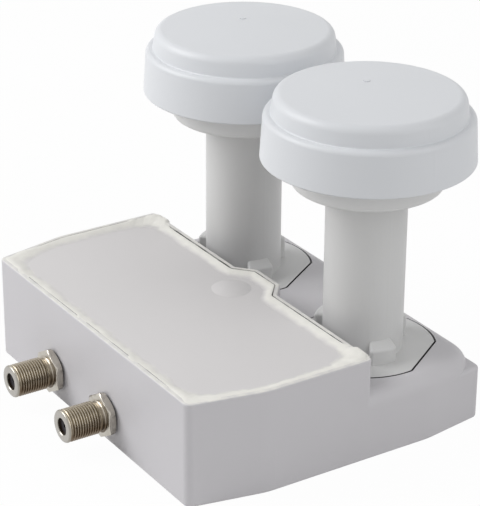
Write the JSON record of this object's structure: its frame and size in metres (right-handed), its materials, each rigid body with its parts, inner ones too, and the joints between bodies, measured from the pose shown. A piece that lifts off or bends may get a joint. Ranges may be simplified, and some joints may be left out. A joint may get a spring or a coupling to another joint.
{
  "type": "satellite lnb",
  "caption": "Satellite low-noise block with a pair of capped feed horns on slim necks, a tapered moulded housing with a sealed cover, and threaded coaxial outlets on the rear wall.",
  "frame": {"origin": "on the underside, midway between the two feed axes", "axes": "+Z along the feed axes towards the caps, +X from the left feed to the right one, +Y from the outlets towards the feeds"},
  "size_m": [0.1226, 0.1168, 0.0974],
  "materials": {
    "housing": "fine moulded satin",
    "cover": "fine moulded satin",
    "sealant": "smooth cured sealant",
    "horn": "light grey powder coat",
    "cap": "smooth satin",
    "seal": "matt",
    "casting": "as cast",
    "board": "solder mask",
    "tinned_sheet": "tinned",
    "screw": "zinc plated",
    "outlet": "bright nickel plate",
    "insulator": "matt",
    "contact": "bright",
    "chip": "moulded"
  },
  "bodies": {
    "root": {"board_screws": "screw", "board_shield": "tinned_sheet", "cap_seal_left": "seal", "cap_seal_right": "seal", "chassis": "casting", "circuit_board": "board", "converter_chip_left": "chip", "converter_chip_right": "chip", "cover_plate": "cover", "feed_horn_left": "horn", "feed_horn_right": "horn", "horn_cap_left": "cap", "horn_cap_right": "cap", "horn_gasket_left": "seal", "horn_gasket_right": "seal", "horn_screws": "screw", "housing_shell": "housing", "outlet_body_left": "outlet", "outlet_body_right": "outlet", "outlet_contact_left": "contact", "outlet_contact_right": "contact", "outlet_insulator_left": "insulator", "outlet_insulator_right": "insulator", "outlet_washer_left": "seal", "outlet_washer_right": "seal", "reference_crystal": "tinned_sheet", "sealant_bead": "sealant", "switch_chip": "chip", "voltage_regulator": "chip"}
  },
  "joints": []
}
